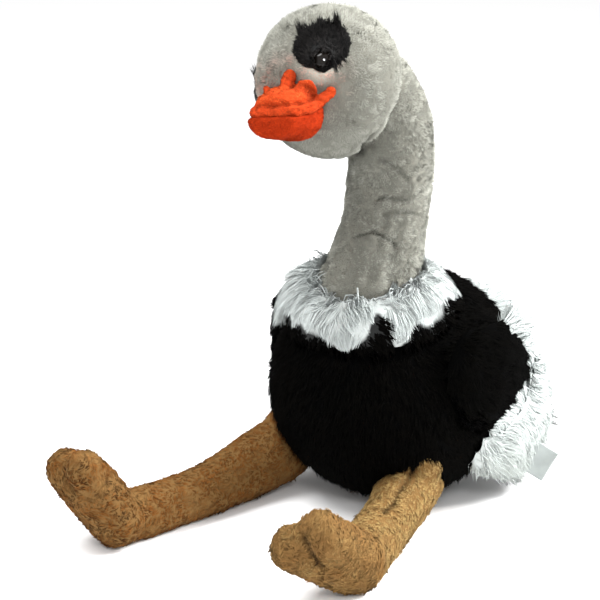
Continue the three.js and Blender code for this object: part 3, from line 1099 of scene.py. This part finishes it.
# the rim is how far out from the radius, and how high
eyeLook = {"radius": 4.4, "dome": 2.2, "sunk": 1.2, "segments": 40,
           "rim": ((0.4, 0.1), (0.4, -0.6), (-0.4, -1.0), (-0.4, -2.4)),
           "roughness": 0.05, "shine": 0.25, "cloud": 220.0,
           "black": (0.0006, 0.0005, 0.0005), "brown": (0.002, 0.0014, 0.001)}



def eyeMaterial(look):
    material, nodes, links, shader = newMaterial("eyePlastic", {
        "Roughness": look["roughness"], "Specular IOR Level": look["shine"]})
    tint = addRamp(nodes, links, addNoise(nodes, links, look["cloud"]), look["black"], look["brown"])
    links.new(tint, shader.inputs["Base Color"])
    return material


eyePlastic = eyeMaterial(eyeLook)


def eyeButton(name, place, outward, look):
    # a domed button with a thin rim, turned round its own axis
    radius, rim = look["radius"], look["rim"]
    bm = bmesh.new()
    outline = [(radius * math.sin(a), look["dome"] * math.cos(a)) for a in np.linspace(0, 1.45, 10)]
    outline += [(radius + out, height) for out, height in rim] + [(0, rim[-1][1])]
    profile = [bm.verts.new((x, 0, z)) for x, z in outline]
    edges = [bm.edges.new(pair) for pair in zip(profile[:-1], profile[1:])]
    bmesh.ops.spin(bm, geom=profile + edges, cent=(0, 0, 0), axis=(0, 0, 1), dvec=(0, 0, 0),
                   angle=math.tau, steps=look["segments"], use_merge=True, use_duplicate=False)
    bmesh.ops.remove_doubles(bm, verts=bm.verts[:], dist=1e-3)
    bmesh.ops.recalc_face_normals(bm, faces=bm.faces[:])
    turn = outward.to_track_quat("Z", "Y").to_matrix().to_4x4()
    move = Matrix.Translation(place) @ turn @ Matrix.Scale(mm, 4)
    bmesh.ops.transform(bm, matrix=move, verts=bm.verts[:])
    return shadeSmooth(meshFrom(bm, name))


def lowerTop(skin, middle, upward, outward):
    # the patch's cloth stops short of its longest hairs, and lies close to the head
    points = meshPoints(skin.data) - np.array(headMiddle)
    rise = (points - np.array(middle - headMiddle)) @ np.array(upward)
    turn = -patchLook["lower"] * np.maximum(rise + 4 * mm, 0) / patchLook["headRadius"]
    axis = np.array(outward.cross(upward))
    c, s = np.cos(turn)[:, None], np.sin(turn)[:, None]
    points = points * c + np.cross(axis, points) * s + axis * (points @ axis)[:, None] * (1 - c)
    closer = 1 - patchLook["close"] / patchLook["headRadius"]
    movePoints(skin.data, points * closer + np.array(headMiddle))


def addEye(side, mirror):
    node, patchNode = "eye_" + side, "eye_patch_" + side
    eyeMiddle, patchMiddle = middleOf(node), middleOf(patchNode)
    outward = (eyeMiddle - headMiddle).normalized()
    upward = headTurn @ Vector((0, 0, 1))
    across = upward.cross(outward).normalized() * mirror
    upward = outward.cross(across).normalized() * mirror

    def fromEye(points, normals):
        # out from the eye and up, and in over its rim
        away = points - np.array(eyeMiddle)
        rim = smoothStep(-np.linalg.norm(away, axis=1), -7.5 * mm, -6 * mm)[:, None]
        away = unit(away + 1.5 * mm * wander(points, 8 * mm, 19)) * (1 - 2 * rim)
        return away + 0.7 * np.array(upward) * (1 - rim)

    def longerAbove(points, normals):
        rise = (points - np.array(patchMiddle)) @ np.array(upward)
        spiky = 0.35 * wander(points, 6 * mm, 65)[:, 0]
        return 0.75 + (0.7 + spiky) * smoothStep(rise, 0, 9 * mm)

    def patchShown(points, normals):
        return np.linalg.norm(points - np.array(eyeMiddle), axis=1) > eyeLook["radius"] * 0.75 * mm

    def onPatch(x, y):
        return np.array(across) * x + np.array(upward) * y

    def fromWisps(points):
        # along the patch, from where each wisp starts
        away = np.array([points - np.array(patchMiddle) - onPatch(*wisp[0]) * mm for wisp in lashWisps])
        return away - np.array(outward) * dot(away, np.array(outward))

    def nearestWisp(points):
        return np.argmin(np.linalg.norm(fromWisps(points), axis=2), axis=0)

    def inWisps(points, normals):
        # a few wisps at the rim of the patch
        wide = np.array([wisp[2] * mm for wisp in lashWisps])[:, None]
        near = np.linalg.norm(fromWisps(points), axis=2) < wide
        return near.any(axis=0) & (normals @ np.array(outward) > 0.1)

    def wispLength(points, normals):
        return np.array([wisp[3] for wisp in lashWisps])[nearestWisp(points)]

    def wispFlow(points, normals):
        # each wisp's hairs draw together to a point
        ways = unit(np.array([onPatch(*wisp[1]) for wisp in lashWisps]))
        nearest = nearestWisp(points)
        away = fromWisps(points)[nearest, np.arange(len(points))]
        return ways[nearest] - away / (9 * mm * wispLength(points, normals))[:, None]

    skin = skinFrom("eyePatchSkin_" + side, [patchNode], patchLook)
    lowerTop(skin, patchMiddle, upward, outward)
    dressPadded(skin, patchLook, lashFur, patchNode)
    addPile("eyePatchPile_" + side, skin, lashFur, patchPile, fromEye, keep=patchShown,
            lengthAt=longerAbove)
    addPile("lashes_" + side, skin, lashFur, lashHair, wispFlow, keep=inWisps, lengthAt=wispLength)
    place = eyeMiddle - outward * eyeLook["sunk"] * mm
    dress(eyeButton("eyeButton_" + side, place, outward, eyeLook), eyePlastic, node)


addEye("left", 1)
addEye("right", -1)
print("eyes done")


# bill

# In mm, on the bill's own axes: the head's middle is 0, the bill points along -Y.
# Each station is its place along the bill, half its width, and how far it rises or falls.
billLook = {
    "turn": 10.0, "nod": 3.0, "tilt": -7.0, "mouth": -9.0, "boxy": 0.85,
    "upper": ((-30, 11, 9.5), (-36, 13.5, 13.5), (-42, 15.0, 14.5), (-49, 16.0, 14.4), (-55, 15.4, 13.6),
              (-60, 13.4, 12.2), (-62.5, 10.0, 10.5)),
    "lower": ((-30, 12, 12.0), (-36, 15.2, 15.0), (-42, 16.5, 15.6), (-49, 16.9, 13.4), (-56, 16.4, 11.6),
              (-62, 15.0, 10.2), (-67, 12.4, 8.0)),
    "fingers": (((-0.3, -52, -2), (0.2, -47, 2.5), (0.7, -41.6, 9.2)),
                ((14.5, -47.5, -5.8), (17, -43.5, -4.6), (21.0, -37.2, -0.8)),
                ((-10, -48, -3), (-11.6, -45, 0.8), (-15.6, -39.4, 3.2))),
    "fingerRadius": (3.7, 3.2, 2.2),
    "flaps": (((9.2, -42.6, 0.8), (6.6, 2.4, 7.2), 22.0, 30.0),
              ((-7.0, -43, -0.6), (5.0, 2.4, 5.6), -22.0, -20.0)),
    "welt": ((-11.5, -46, -5.6), (-14.0, -51, -5.4), (-13.4, -57, -5.3), (-9.5, -61.4, -5.4),
             (0, -63, -5.6), (10.5, -61.6, -5.4), (15.4, -57, -5.3), (16.8, -50, -5.6), (15.8, -46, -5.8)),
    "weltRadius": 3.0, "lip": 2.4, "bite": 2.4,
}
billSkinLook = {"voxel": 0.8 * mm, "depth": 0.25 * mm, "rounds": 1, "fill": 0.8}
billNap = {"tuftsPerSquareMetre": 3.6e6, "length": 0.9 * mm, "vary": 0.4, "lift": 0.6, "liftVary": 0.3,
           "stray": 0.8, "steps": 1, "lock": 1.6 * mm, "pull": 0.2, "pullCurve": 1.0, "partShort": 0.3,
           "partShade": 0.3, "mottle": 0.7, "width": 0.65 * mm, "rootWidth": 1.0, "flat": 0.3,
           "sink": 0.15 * mm, "soft": 0.3, "seed": 71}
billTurn = (Matrix.Rotation(math.radians(billLook["turn"]), 3, "Z")
            @ Matrix.Rotation(math.radians(billLook["nod"]), 3, "X")
            @ Matrix.Rotation(math.radians(billLook["tilt"]), 3, "Y"))


def onBill(place):
    return headMiddle + billTurn @ (Vector(place) * mm)


def addHalf(bm, stations, rise):
    # a ball drawn out along the stations: rise is +1 for the upper half, -1 for the lower. The
    # two bite into each other a little along the mouth.
    ball = bmesh.ops.create_uvsphere(bm, u_segments=48, v_segments=36, radius=1.0,
                                     matrix=Matrix.Rotation(math.pi / 2, 4, "X"))
    along, width, height = (np.array(values, float) for values in zip(*stations))
    order = np.argsort(along)
    along, width, height = along[order], width[order], height[order]
    middle, reach = (along[0] + along[-1]) / 2, (along[-1] - along[0]) / 2
    lip, base = billLook["lip"], billLook["mouth"] - rise * billLook["bite"]
    for vert in ball["verts"]:
        y = middle + reach * vert.co.y
        ring = max(math.hypot(vert.co.x, vert.co.z), 1e-6)
        c, s = vert.co.x / ring, vert.co.z / ring
        w, h = np.interp(y, along, width), np.interp(y, along, height)
        edge = min(1.0, ring * 2.2) ** 0.7
        x = w * edge * math.copysign(abs(c) ** billLook["boxy"], c)
        tall = (h + billLook["bite"] - lip) if s * rise > 0 else lip
        z = base + rise * lip + tall * edge * math.copysign(abs(s) ** billLook["boxy"], s)
        vert.co = onBill((x, y, z))


def addRoll(bm, places, radius):
    # a stuffed roll: balls set close together along a smooth path
    places = [Vector(place) for place in places]
    for a, b in zip(places[:-1], places[1:]):
        steps = max(2, round((b - a).length / (radius * 0.35)))
        for i in range(steps + 1):
            middle = Matrix.Translation(onBill(a.lerp(b, i / steps)))
            bmesh.ops.create_icosphere(bm, subdivisions=2, radius=radius * mm, matrix=middle)


def smoothPath(places, rounds=2):
    # cuts the corners off a path
    for _ in range(rounds):
        places = [Vector(place) for place in places]
        cut = [places[0]]
        for a, b in zip(places[:-1], places[1:]):
            cut += [a.lerp(b, 0.25), a.lerp(b, 0.75)]
        places = cut + [places[-1]]
    return places


def addFlap(bm, place, half, lean, slope):
    turn = Matrix.Rotation(math.radians(lean), 4, "Z") @ Matrix.Rotation(math.radians(slope), 4, "Y")
    turn = billTurn.to_4x4() @ turn @ Matrix.Diagonal((*half, 1))
    move = Matrix.Translation(onBill(place)) @ Matrix.Scale(mm, 4) @ turn
    bmesh.ops.create_uvsphere(bm, u_segments=24, v_segments=16, radius=1.0, matrix=move)


def billPiece(name, bm, material, nodes, ripple, seams=(), markAt=None):
    piece = sewn(meshFrom(bm, name), billSkinLook, seams)
    points = meshPoints(piece.data)
    uneven = wander(points, 4.5 * mm, 29)[:, :1] * ripple * mm
    movePoints(piece.data, points + meshNormals(piece.data) * uneven)
    dressPadded(piece, billSkinLook, material, *nodes, markAt=markAt)
    count = int(sum(face.area for face in piece.data.polygons) * billNap["tuftsPerSquareMetre"])
    addPile(name + "Nap", piece, material, {**billNap, "count": count}, napFlow, markAt=markAt)


def napFlow(points, normals):
    return np.array((0, -1.0, 0.2)) + 0.8 * wander(points, 7 * mm, 23)


weltPath = smoothPath(billLook["welt"])
raised = [[onBill(place) for place in weltPath]]
raised += [[onBill(place) for place in path] for path in billLook["fingers"]]
# creases above the welt and beside the middle finger with painted shade in them, and painted shade on a
# flap
billSeams = [
    seamAt(1.3, 0.9, 0.3, [onBill((x * 0.9, y * 0.985, z + 3.4)) for x, y, z in weltPath]),
    seamAt(1.3, 0.8, 0.4, [onBill(place) for place in ((4.4, -54, 2), (4.6, -49, 4), (4.8, -44, 6))]),
    seamAt(7, 0.0, 0.6, [onBill(place) for place in ((6, -43, 1), (13, -42, 0))]),
]


def onRolls(points):
    # the welt and the fingers take the mark colour, a darker orange; the flap's painted shade comes from
    # its seam
    near = np.min([fromLine(points, line) for line in raised], axis=0)
    return smoothStep(-near, -4.4 * mm, -2.8 * mm)


upper = bmesh.new()
addHalf(upper, billLook["upper"], 1)
addRoll(upper, weltPath, billLook["weltRadius"])
for path, radius in zip(billLook["fingers"], billLook["fingerRadius"]):
    addRoll(upper, smoothPath(path), radius)
for flap in billLook["flaps"]:
    addFlap(upper, *flap)
billPiece("billUpper", upper, orangeVelour, ["bill_upper", "bill_flap_left", "bill_flap_right",
          "bill_finger_middle", "bill_finger_left", "bill_finger_right"], 0.3, billSeams, onRolls)
lower = bmesh.new()
addHalf(lower, billLook["lower"], -1)
billPiece("billLower", lower, lowerVelour, ["bill_lower"], 0.12)
print("bill done")


# legs and feet

legLook = {"voxel": 3 * mm, "depth": 0.5 * mm, "rounds": 1, "fill": 0.6,
           "pressure": 3.0, "cap": 2 * mm, "spareCloth": 0.04, "bending": 0.3}
legPile = {"count": 17500, "length": 3.8 * mm, "vary": 0.35, "lift": 0.5, "liftVary": 0.2,
           "stray": 0.4, "steps": 2, "curl": 0.25, "turns": 0.4, "hug": 0.3, "lock": 2.4 * mm,
           "pull": 0.5, "pullCurve": 0.8, "partShort": 0.45, "partShade": 0.75, "mottle": 0.2,
           "width": 1.08 * mm, "rootWidth": 0.95, "flat": 0.4, "sink": 0.3 * mm, "soft": 0.86, "seed": 81}
nearLegSeams = [
    # a seam down the leg and a crease across the foot, with painted shade in them
    seamAt(2.2, 1.8, 0.7,
           route((54, -1, 42), (53.5, -6, 35), (57, -18.5, 31), (59, -26, 29), (62, -35, 28.5),
                 (64.3, -46, 28)), crease=True),
    seamAt(2.4, 2.2, 0.75,
           route((71, -123, 44), (73.5, -121, 39.5), (75, -118, 33.5), (79, -114, 27)), crease=True),
]
farLegSeams = [
    # fuller along the top, next to the body
    seamAt(13, -4, 0.0, route((-49, -18, 38), (-51, -28, 36), (-48, -42, 34), (-46, -54, 31))),
    # a crease across the foot, with painted shade in it
    seamAt(3.0, 2.6, 0.5, route((-70, -143, 57), (-66, -147, 50), (-62, -152, 42)), crease=True),
]
# in mm: where each leg leaves the body and where its thigh is fullest, each with its radius;
# then how brown the leg and the foot are, partly their own tone and partly painted shade
legs = {
    "left": {"hip": (35.8, 26.9, 26), "hipRadius": 17, "thigh": (50, 5, 33), "thighRadius": 13,
             "brown": 0.1, "footBrownAndShade": 0.5, "seams": nearLegSeams},
    "right": {"hip": (-39.2, 8.9, 25), "hipRadius": 17, "thigh": (-43, 0, 32.5), "thighRadius": 14.5,
              "brown": 0.95, "footBrownAndShade": 0.9, "seams": farLegSeams},
}


def addLeg(side, look):
    leg, foot = "leg_" + side, "foot_" + side
    hip = Vector(look["hip"]) * mm
    inner = hip.lerp(middleOf("body"), 0.3)
    heel = spot(foot, 0.5, 0.7, 0.1)
    heading = unit(np.array(heel - hip) * np.array((1, 1, 0)))
    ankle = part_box(foot)[1][1]

    def flow(points, normals):
        raised = smoothStep(points[:, 2], 25 * mm, 45 * mm)[:, None]
        raised = raised * smoothStep(-points[:, 1], -ankle - 5 * mm, -ankle)[:, None]
        lie = heading * (1 - raised) + np.array((0, 0, 1.0)) * raised
        return lie + 0.9 * wander(points, 12 * mm, 25)

    def shown(points, normals):
        return (depthInside(points + normals * 2 * mm, "body") < 9 * mm) & (points[:, 2] > 0.9 * mm)

    def onFoot(points):
        return smoothStep(-points[:, 1], -ankle - 2 * mm, -ankle + 14 * mm)

    def brownAndShaded(points):
        # partly the pile's own browner tone, partly painted shade, on the far leg and the feet
        brown = look["brown"] + (look["footBrownAndShade"] - look["brown"]) * onFoot(points)
        return np.clip(brown + 0.15 * wander(points, 16 * mm, 27)[:, 0], 0, 1)

    def partingShade(points):
        # painted shade in the partings, stronger on the feet and on the browner leg
        return 0.4 + 0.2 * look["brown"] + 0.35 * onFoot(points)

    stubs = [(inner, look["hipRadius"] * mm), (Vector(look["thigh"]) * mm, look["thighRadius"] * mm)]
    skin = skinFrom("legSkin_" + side, [leg, foot], legLook, look["seams"], stubs)
    dressPadded(skin, legLook, tanPlush, leg, foot, markAt=brownAndShaded)
    addPile("legPile_" + side, skin, tanPlush, legPile, flow, keep=shown, markAt=brownAndShaded, partAt=partingShade)


for side, look in legs.items():
    addLeg(side, look)
print("legs done")


# tag

tagLook = {"size": (16.5, 19.0), "outward": (0.75, 0.43, -0.5), "along": (-0.32, -0.54, -0.79),
           "thick": 0.4, "bow": 0.9, "ripple": 0.25, "weave": 900.0, "cloud": 120.0,
           "shadow": (0.245, 0.268, 0.258), "light": (0.33, 0.36, 0.35)}


def addTag(look):
    width, length = look["size"]
    bm = bmesh.new()
    bmesh.ops.create_grid(bm, x_segments=24, y_segments=28, size=0.5)
    for vert in bm.verts:
        x, y = vert.co.x, vert.co.y
        bend = look["bow"] * (1 - 4 * x * x) + look["ripple"] * math.sin(9 * y + 4 * x)
        vert.co = (x * width, y * length, bend)
    bmesh.ops.solidify(bm, geom=bm.faces[:], thickness=look["thick"])
    bmesh.ops.recalc_face_normals(bm, faces=bm.faces[:])
    outward = Vector(look["outward"]).normalized()
    along = Vector(look["along"])
    along = (along - outward * along.dot(outward)).normalized()
    turn = Matrix((outward, along, outward.cross(along))).transposed().to_4x4()
    move = Matrix.Translation(middleOf("tag")) @ turn @ Matrix.Scale(mm, 4)
    bmesh.ops.transform(bm, matrix=move, verts=bm.verts[:])
    return shadeSmooth(meshFrom(bm, "tagRibbon"))


def tagMaterial(look):
    material, nodes, links, shader = newMaterial("tagSatin", {
        "Roughness": 0.38, "Specular IOR Level": 0.4, "Sheen Weight": 0.1})
    tint = addRamp(nodes, links, addNoise(nodes, links, look["cloud"]), look["shadow"], look["light"])
    links.new(tint, shader.inputs["Base Color"])
    place = nodes.new("ShaderNodeTexCoord")
    weave = nodes.new("ShaderNodeTexWave")
    setInputs(weave, {"Scale": look["weave"], "Distortion": 1.0})
    links.new(place.outputs["Object"], weave.inputs["Vector"])
    addBump(nodes, links, weave.outputs["Fac"], shader, 0.25, 0.2 * mm)
    return material


tag = dress(addTag(tagLook), tagMaterial(tagLook), "tag")
print("tag done")
